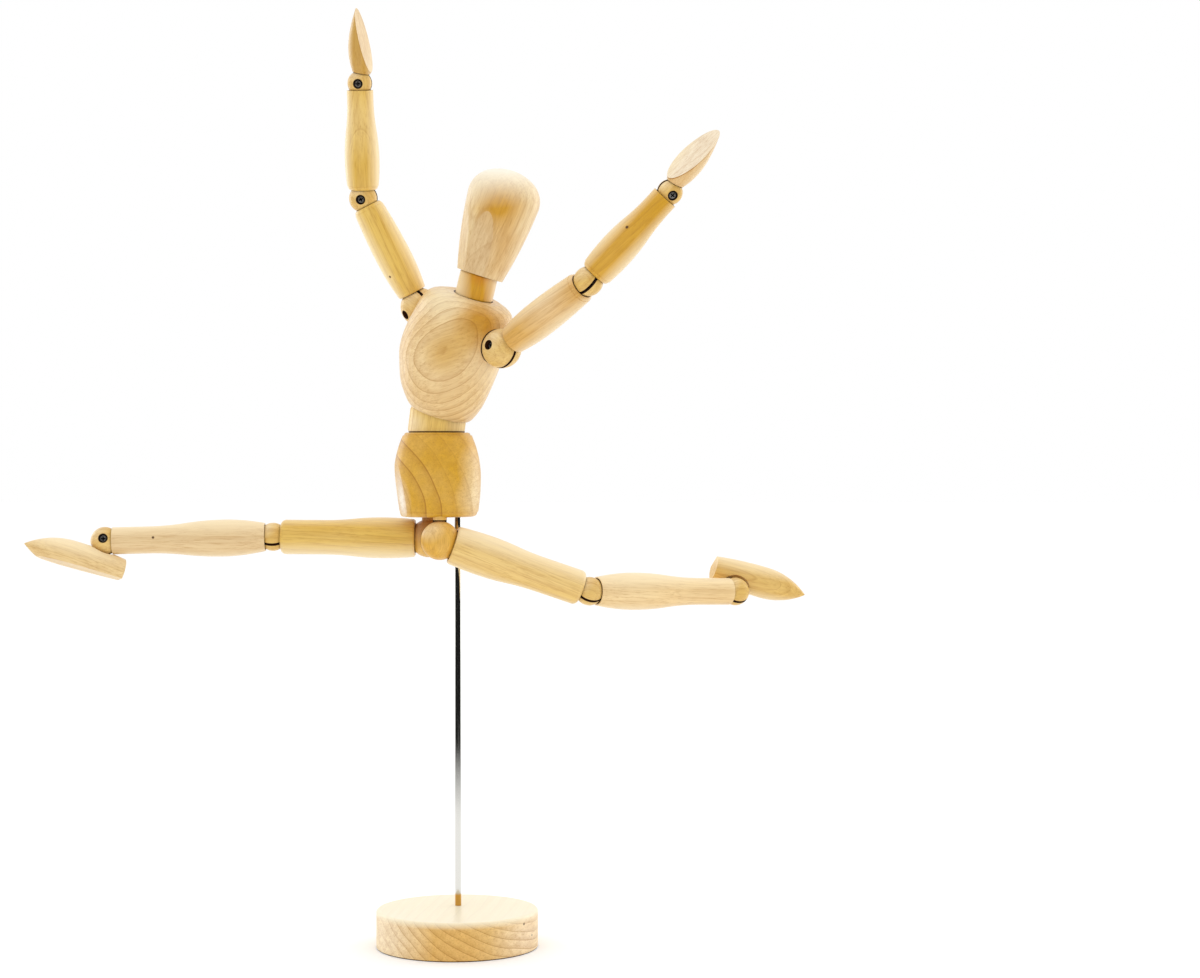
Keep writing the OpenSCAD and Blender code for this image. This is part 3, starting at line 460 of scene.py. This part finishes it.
dress("rod", polished_steel())
dress_trunk(
    "base", Vector((0.1, 1, 0.03)), Vector((0.05, 0, 0.075)),
    ring_gap=0.0036, lines=0.75, warp=0.007, seed=1.3, strong=(0.071, 0.092),
    # Painted light from above on the base's top
    sapwood=(Vector((0, 0, 0.004)), UP, 0.0095, 0.0124, 0.85, BASE_LIT_TOP),
    tints=[(Vector((0.0, -0.035, 0.004)), 0.034, BASE_GOLD, 0.65),
           (Vector((0.034, -0.02, 0.008)), 0.022, BASE_RIGHT, 0.7),
           (Vector((-0.031, -0.022, 0.008)), 0.026, BASE_LEFT, 0.85)],
    spots=[(Vector((0.0295, -0.0188, 0.0132)), 0.0006),
           (Vector((0.0327, -0.0124, 0.0072)), 0.0005)],
    # Painted contact shadow along the base's lower edge
    bands=[(Vector((0, 0, 0)), UP, BASE_SHADOW_BAND)])
dress_trunk(
    "pelvis", Vector((0, 1, 0.12)), Vector((-0.042, 0, 0.1877)),
    ring_gap=0.0065, lines=0.95, seed=2.54, cream=0.1, strong=(0.0275, 0.0375),
    # The pale patch on the flat at the left is painted light falling on it
    tints=[(Vector((-0.026, 0.0, 0.194)), 0.013, PELVIS_FLAT, 0.95),
           (Vector((0.014, -0.008, 0.208)), 0.014, PELVIS_SIDE, 0.85),
           (Vector((0.0095, -0.004, 0.195)), 0.013, PELVIS_SIDE, 0.8)],
    cups=[(pelvis_cup, WAIST_BALL_R)])
dress_trunk(
    "waist", axis_of("chest_turn"), waist_centre + Vector((0.05, -0.03, 0)),
    lines=0.2, seed=0.4,
    tints=[(Vector((-0.019, -0.004, 0.2265)), 0.008, PALE, 0.6),
           (Vector((0.003, -0.006, 0.2265)), 0.008, PALE, 0.5)],
    # Painted shadow along the waist's lower edge, where it meets the pelvis
    bands=[(pelvis_cup - UP * WAIST_GAP / 2, UP, WAIST_SHADOW_BAND)])
dress_trunk(
    "chest", body_up * 0.35 + Vector((0.93, -0.26, 0)), Vector((-0.0185, -0.0515, 0.2535)),
    ring_gap=0.0038, lines=0.62, warp=0.006, seed=1.14,
    # The golden patches low on the front are painted shade, and the pale patches on the top painted light, as from a
    # light above and to the left
    tints=[(Vector((0.0118, -0.0258, 0.2694)), 0.0135, GOLD, 0.95),
           (Vector((0.004, -0.026, 0.2625)), 0.011, CHEST_AMBER, 0.6),
           (Vector((-0.004, -0.025, 0.2565)), 0.011, CHEST_HONEY, 0.65),
           (Vector((-0.006, -0.02, 0.283)), 0.016, PALE, 0.8)],
    bleached=[(Vector((-0.004, -0.018, 0.287)), 0.018, CHEST_TOP, 0.5),
              (Vector((0.0155, -0.018, 0.252)), 0.014, PALE, 0.45)],
    cups=[(waist_centre, WAIST_BALL_R), (neck_centre, NECK_BALL_R)] + [(s, BIG_BALL_R) for s in shoulders])
dress_trunk(
    "neck", axis_of("head_turn"), neck_centre + Vector((-0.04, -0.03, 0)),
    lines=0.2, seed=4.4, cream=0.08,
    # Painted light on the neck's left and right sides
    sapwood=(neck_centre + Vector((0.0008, 0, 0)), SIDEWAYS, 0.0022, 0.0088, 0.85, PALE),
    tints=[(neck_centre + Vector((0.002, -0.009, 0.004)), 0.006, NECK_AMBER, 0.7)])
dress_trunk(
    "head", head_up + Vector((0.03, 0, 0)), middle("head") + Vector((0.03, 0.05, 0)),
    ring_gap=0.004, lines=0.22, seed=5.2,
    tints=[(Vector((0.0192, -0.0253, 0.3185)), 0.0135, HEAD_GOLD, 0.95),
           (Vector((0.0215, -0.022, 0.304)), 0.01, GOLD, 0.45),
           (Vector((0.0205, -0.019, 0.2935)), 0.009, GOLD, 0.3)],
    # The pale patch over the grain on the crown is painted light from above
    bleached=[(Vector((0.019, -0.014, 0.336)), 0.022, HEAD_CROWN, 0.9)],
    # Painted shading on the cheek facets, with a painted shadow line under the front one's edge
    flats=[(Vector((0.010877, -0.020242, 0.301369)), Vector((-0.3218, -0.9254, -0.2003)), FRONT_CHEEK, 0.6, 0.16),
           (Vector((0.003706, -0.013957, 0.304342)), Vector((-0.9153, -0.4015, 0.0313)), SIDE_CHEEK, 0.5, 0.0)],
    cups=[(pivot("head_lean"), NECK_BALL_R)])

# Limbs, balls and screws

LIMB_CORE = {
    "left_upper_arm": srgb(224, 171, 72), "left_forearm": srgb(222, 166, 6), "left_hand": srgb(232, 190, 124),
    "right_upper_arm": srgb(243, 204, 98), "right_forearm": srgb(235, 191, 66), "right_hand": srgb(207, 160, 58),
    "left_thigh": srgb(244, 206, 120), "left_shin": srgb(250, 216, 154), "left_foot": srgb(236, 196, 108),
    "right_thigh": srgb(234, 192, 80), "right_shin": srgb(238, 208, 156), "right_foot": srgb(244, 212, 148),
}
LIMB_CREAM = {"left_upper_arm": 0.13, "left_forearm": 0.09}
LIMB_TINTS = {
    "left_upper_arm": [(Vector((0.0385, -0.046, 0.2795)), 0.019, srgb(248, 222, 180), 0.6)],
    "right_forearm": [(Vector((-0.0445, 0.002, 0.3585)), 0.021, srgb(245, 215, 148), 0.7)],
    "left_shin": [(Vector((0.075, -0.004, 0.163)), 0.024, srgb(250, 226, 178), 0.5)],
}
NAIL_SPOTS = {
    "right_shin": [(Vector((-0.1333, 0.0101, 0.1771)), 0.0006)],
    "right_upper_arm": [(Vector((-0.0293, 0.0063, 0.2905)), 0.0006)],
    "left_forearm": [(Vector((0.0729, -0.0621, 0.3064)), 0.0007)],
}
# Painted light on the palms' flats, with a painted shadow line under their edges
PALMS = {
    "left_hand": [(Vector((0.099562, -0.063615, 0.335575)), Vector((-0.5519, -0.6068, 0.572)),
                   srgb(252, 238, 210), 0.9, 0.8)],
    "right_hand": [(Vector((-0.039394, -0.005787, 0.391053)), Vector((0.956, -0.2304, 0.1815)),
                    srgb(244, 218, 170), 0.8, 0.3)],
}
# Limbs whose rings are cut flat, so that they face the view
FLAT_SAWN = ("right_forearm", "left_foot")
# Thickness of each limb, and how far below its axis the middle of the painted light on its sides lies, as a share of
# it
THICKNESS = {"upper_arm": 0.0155, "forearm": 0.0145, "hand": 0.014, "thigh": 0.0185, "shin": 0.0165, "foot": 0.016}
THIGH_SIDE_LIGHT_DROP = {"left": 0.12, "right": -0.08}
LOWER_LEG_SIDE_LIGHT_DROP = 0.12
# Painted light on the sides of the limbs: where it starts and is full, as shares of the thickness, and how pale it is
SIDE_LIGHT_START = 0.17
SIDE_LIGHT_FULL = 0.5
SIDE_LIGHT_SHARE = 0.75

HIP_CORE = srgb(234, 179, 54)
BALL_CORE = srgb(236, 196, 108)
# Places, sizes and shares of the painted light on each ball's upper left front and of the painted shadow that the
# pelvis casts on the right hip, in ball radii
BALL_LIGHT = Vector((-0.45, -0.6, 0.66))
BALL_LIGHT_R = 0.9
BALL_LIGHT_SHARE = 0.55
SHADOWED_BALL = "right_hip"
PELVIS_SHADOW = Vector((-0.1, -0.7, 0.9))
PELVIS_SHADOW_R = 1.5
PELVIS_SHADOW_SHARE = 0.6
# Heart line of a half ball beside its middle, on either side for the two halves
HALF_HEART = Vector((0.014, 0.012, 0.006))
HALF_SEED = 0.7
SIDE_SEED = 1.7
# Length of a screw's end that tells its head from its tip
SCREW_END = 0.0006


def dress_limb(side, limb, start, end, seed, cups, heart_off=-0.035, tilt=0.05, lower=0.0, **more):
    """Wood of a limb whose grain runs from one end to the other, a little off its axis, with painted light on its
    sides as seen from the front.
    """
    node = side + "_" + limb
    thick = THICKNESS[limb]
    along = (end - start).normalized()
    facing = (TOWARDS_VIEW - along * TOWARDS_VIEW.dot(along)).normalized()
    across = along.cross(facing)
    lit_sides_middle = (start + end) / 2 - UP * lower * thick
    rings_from = facing if node in FLAT_SAWN else across
    dress(node, wood(
        node + "_wood", along + rings_from * tilt, (start + end) / 2 + rings_from * heart_off, LIMB_CORE[node],
        seed=seed, cups=cups, tints=LIMB_TINTS.get(node, ()), spots=NAIL_SPOTS.get(node, ()),
        flats=PALMS.get(node, ()), cream=LIMB_CREAM.get(node, CREAM_SHARE),
        sapwood=(lit_sides_middle, across, SIDE_LIGHT_START * thick, SIDE_LIGHT_FULL * thick, SIDE_LIGHT_SHARE, PALE), **more))


def screw_head(screw, centre, across):
    """The side of a ball that a screw's head is on, 1 or -1 along the axis, and how far out the head reaches."""
    points = [v.co - centre for v in nodes[screw].data.vertices]

    def widest(side):
        tip = max(side * point.dot(across) for point in points)
        end = [point for point in points if side * point.dot(across) > tip - SCREW_END]
        return max((point - across * point.dot(across)).length for point in end)

    headed = 1 if widest(1) > widest(-1) else -1
    return headed, max(headed * point.dot(across) for point in points)


def dress_ball(joint, ball_r, halves, swivel, seed):
    """The two halves of a split ball and the screw that holds them."""
    centre = pivot(joint + "_hinge")
    across = axis_of(joint + "_hinge")
    screw = joint + "_screw"
    headed, tip = screw_head(screw, centre, across)
    dress(screw, cross_screw(screw + "_metal", centre + across * headed * tip, -across * headed))
    core = HIP_CORE if "hip" in joint else BALL_CORE
    # Painted light on the upper left front of each ball
    tints = [(centre + BALL_LIGHT * ball_r, BALL_LIGHT_R * ball_r, PALE, BALL_LIGHT_SHARE)]
    # Painted shadow that the pelvis casts on the right hip
    if joint == SHADOWED_BALL:
        tints.append((centre + PELVIS_SHADOW * ball_r, PELVIS_SHADOW_R * ball_r, UMBER, PELVIS_SHADOW_SHARE))
    for count, half in enumerate(halves):
        node = "%s_%s_half" % (joint, half)
        outer = sum((v.co - centre).dot(across) for v in nodes[node].data.vertices) * headed > 0
        dress(node, wood(
            node + "_wood", axis_of(swivel), centre + HALF_HEART * (1 if count else -1), core,
            ring_gap=0.0024, lines=0.22, seed=seed + HALF_SEED * count, tints=tints,
            # Painted shade in the slit between the halves, and on the wall of the screw's bore in the half on the
            # head's side
            bands=[(centre, across, SLIT / 2 + SLIT_EDGE)],
            holes=[(centre, across, SCREW_BORE_R)] if outer else []))


def dress_arm(side, number):
    shoulder, elbow, wrist = (pivot("%s_%s_hinge" % (side, joint)) for joint in ("shoulder", "elbow", "wrist"))
    dress_limb(side, "upper_arm", shoulder, elbow, 1.0 + number, [(shoulder, BIG_BALL_R), (elbow, MID_BALL_R)])
    dress_limb(side, "forearm", elbow, wrist, 2.0 + number, [(elbow, MID_BALL_R), (wrist, SMALL_BALL_R)], tilt=0.09)
    dress_limb(side, "hand", wrist, middle(side + "_hand"), 5.0 + number, [(wrist, SMALL_BALL_R)], lines=0.15)


def dress_leg(side, number):
    hip, knee, ankle = (pivot("%s_%s_hinge" % (side, joint)) for joint in ("hip", "knee", "ankle"))
    dress_limb(side, "thigh", hip, knee, 3.0 + number, [(hip, BIG_BALL_R), (knee, MID_BALL_R)],
               lower=THIGH_SIDE_LIGHT_DROP[side])
    dress_limb(side, "shin", knee, ankle, 4.0 + number, [(knee, MID_BALL_R), (ankle, MID_BALL_R)], tilt=0.03,
               lower=LOWER_LEG_SIDE_LIGHT_DROP, lines=0.2)
    foot = middle(side + "_foot")
    down = axis_of(side + "_foot_twist")
    toe = foot - ankle
    toe = toe - down * toe.dot(down)
    dress_limb(side, "foot", foot - toe, foot + toe, 6.0 + number, [], heart_off=0.02,
               lower=LOWER_LEG_SIDE_LIGHT_DROP, lines=0.35, ring_gap=0.0022)


for number, side in enumerate(SIDES):
    dress_arm(side, number)
    dress_leg(side, number)
    for joint, ball_r, halves, swivel in (
        ("shoulder", BIG_BALL_R, ("inner", "outer"), "shoulder_swivel"),
        ("hip", BIG_BALL_R, ("inner", "outer"), "hip_swivel"),
        ("elbow", MID_BALL_R, ("upper", "lower"), "upper_arm_twist"),
        ("wrist", SMALL_BALL_R, ("upper", "lower"), "forearm_twist"),
        ("knee", MID_BALL_R, ("upper", "lower"), "thigh_twist"),
        ("ankle", MID_BALL_R, ("upper", "lower"), "shin_twist"),
    ):
        dress_ball(side + "_" + joint, ball_r, halves, side + "_" + swivel, SIDE_SEED * number)

# Springs

SPRING_SLIM = 0.8
SPRING_SPLIT = 0.0005
MERGE_GAP = 0.000001

wire = spring_wire()
for node in ("shoulder_spring", "left_hip_spring", "right_hip_spring"):
    dress(node, wire)


def new_piece(name, mesh, material):
    """An object at the origin from a finished bmesh."""
    data = bpy.data.meshes.new(name)
    mesh.to_mesh(data)
    mesh.free()
    data.materials.append(material)
    piece = bpy.data.objects.new(name, data)
    bpy.context.scene.collection.objects.link(piece)
    return piece


def everything(mesh):
    return list(mesh.verts) + list(mesh.edges) + list(mesh.faces)


def bending_spring(node, centre, down, up, lower_bodies, upper_bodies):
    """A spring in two halves that meet inside its ball, each a little slimmer to leave play in the bores."""
    facing = (up - down).normalized()
    for half, outward, bodies in (("lower", down, lower_bodies), ("upper", up, upper_bodies)):
        mesh = bmesh.new()
        mesh.from_mesh(nodes[node].data)
        bmesh.ops.remove_doubles(mesh, verts=mesh.verts, dist=MERGE_GAP)
        slim = Matrix.Scale(SPRING_SLIM, 4) @ Matrix.Scale(1 / SPRING_SLIM, 4, outward)
        about_centre = Matrix.Translation(centre) @ slim @ Matrix.Translation(-centre)
        bmesh.ops.transform(mesh, matrix=about_centre, verts=mesh.verts)
        below = half == "lower"
        cut = centre + facing * (-SPRING_SPLIT if below else SPRING_SPLIT)
        bmesh.ops.bisect_plane(mesh, geom=everything(mesh), plane_co=cut, plane_no=facing,
                               clear_outer=below, clear_inner=not below)
        bmesh.ops.holes_fill(mesh, edges=[e for e in mesh.edges if e.is_boundary], sides=0)
        piece = new_piece(node + "_" + half, mesh, wire)
        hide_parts(node)
        if below:
            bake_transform(piece)
        else:
            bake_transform(piece)


bending_spring("waist_spring", waist_centre, -UP, body_up, ("pelvis", "waist"), ("waist_spring", "chest"))
bending_spring("neck_spring", neck_centre, -body_up, head_up, ("chest", "neck"), ("neck_spring", "head"))

# Studio

FLOOR_HALF = 8.0
FLOOR_GLOW = 0.11
FLOOR = {
    "Base Color": grey(0.92), "Roughness": 0.9, "Specular IOR Level": 0.1, "Emission Color": grey(1.0),
}
DARK_WALL = {"Base Color": grey(0.015), "Roughness": 1.0, "Specular IOR Level": 0.0}
WALL_R = 0.72
WALL_H = 0.9
WALL_BACK = 0.45
MAT_R = 0.38
MAT_H = 0.001
MAT_DARK = 0.49
ROUND_STEPS = 96
# Lamps: name, place, size and power in watts
LAMPS = (
    ("top_box", Vector((0.25, 0.1, 1.7)), 1.2, 1.8),
    ("left_box", Vector((-1.25, 0.75, 0.45)), 1.0, 4.5),
    ("right_box", Vector((1.25, 0.75, 0.45)), 1.0, 4.5),
)
LAMP_AIM = Vector((0, 0, 0.2))
LENS = 76.8
SENSOR = 36.0
CAMERA_PLACE = (0.06193, -1.10737, 0.21922)
# The camera looks down a little: in pixels, the horizon above the middle over the length of the lens
CAMERA_DIP = math.atan(48 / 2560)


def seen_rays(tree):
    """1 for what the camera sees, straight or in a reflection, and 0 for light that falls on the figure."""
    rays = add(tree, "ShaderNodeLightPath").outputs
    seen = rays["Is Camera Ray"]
    for kind in ("Is Glossy Ray", "Is Transmission Ray"):
        seen = number_of(tree, "MAXIMUM", seen, rays[kind])
    return seen


def white_floor():
    material, tree, shader = new_material("white_floor")
    set_sockets(shader, FLOOR)
    tree.links.new(times(tree, seen_rays(tree), FLOOR_GLOW), shader.inputs["Emission Strength"])
    mesh = bmesh.new()
    bmesh.ops.create_grid(mesh, x_segments=1, y_segments=1, size=FLOOR_HALF)
    piece = new_piece("floor", mesh, material)


def picked(geometry, kind):
    return [part for part in geometry if isinstance(part, kind)]


def dark_room():
    """A low dark wall round the camera's side, with a mat before it that fades out, which the rod and the satin
    finish reflect."""
    material, tree, shader = new_material("dark_wall")
    set_sockets(shader, DARK_WALL)
    reach = times(tree, length_of(tree, "LENGTH", rest_place(tree)), RAMP_END / WALL_R)
    faded = ramp(tree, reach, [(RAMP_END * MAT_R / WALL_R, grey(0.0)), (MAT_DARK, grey(1.0))])
    tree.links.new(faded, shader.inputs["Alpha"])
    mesh = bmesh.new()
    bmesh.ops.create_circle(mesh, segments=ROUND_STEPS, radius=MAT_R)
    bmesh.ops.translate(mesh, vec=UP * MAT_H, verts=mesh.verts)
    mat = bmesh.ops.extrude_edge_only(mesh, edges=list(mesh.edges))["geom"]
    bmesh.ops.scale(mesh, vec=(WALL_R / MAT_R, WALL_R / MAT_R, 1), verts=picked(mat, bmesh.types.BMVert))
    wall = bmesh.ops.extrude_edge_only(mesh, edges=picked(mat, bmesh.types.BMEdge))["geom"]
    bmesh.ops.translate(mesh, vec=UP * WALL_H, verts=picked(wall, bmesh.types.BMVert))
    bmesh.ops.bisect_plane(mesh, geom=everything(mesh), plane_co=(0, WALL_BACK * WALL_R, 0), plane_no=(0, 1, 0),
                           clear_outer=True)
    piece = new_piece("dark_wall", mesh, material)
    piece.visible_camera = False
    piece.visible_diffuse = False
    piece.visible_shadow = False


def white_world():
    world = bpy.data.worlds.new("white_studio")
    bpy.context.scene.world = world
    world.use_nodes = True
    set_sockets(world.node_tree.nodes["Background"], {"Color": grey(1.0), "Strength": 1.0})


def soft_box(name, place, size, power):
    lamp = bpy.data.lights.new(name, "AREA")
    lamp.shape = "SQUARE"
    lamp.size = size
    lamp.energy = power
    piece = bpy.data.objects.new(name, lamp)
    piece.location = place
    piece.rotation_euler = (LAMP_AIM - place).to_track_quat("-Z", "Y").to_euler()
    bpy.context.scene.collection.objects.link(piece)


def front_camera():
    camera = bpy.data.cameras.new("camera")
    camera.lens = LENS
    camera.sensor_width = SENSOR
    camera.sensor_fit = "HORIZONTAL"
    camera.clip_start = 0.05
    camera.clip_end = 50.0
    view = bpy.data.objects.new("camera", camera)
    view.location = CAMERA_PLACE
    view.rotation_euler = (math.radians(90) - CAMERA_DIP, 0, 0)
    bpy.context.scene.collection.objects.link(view)
    bpy.context.scene.camera = view


white_floor()
dark_room()
white_world()
for lamp in LAMPS:
    soft_box(*lamp)
front_camera()
bpy.context.scene.view_settings.view_transform = "Standard"
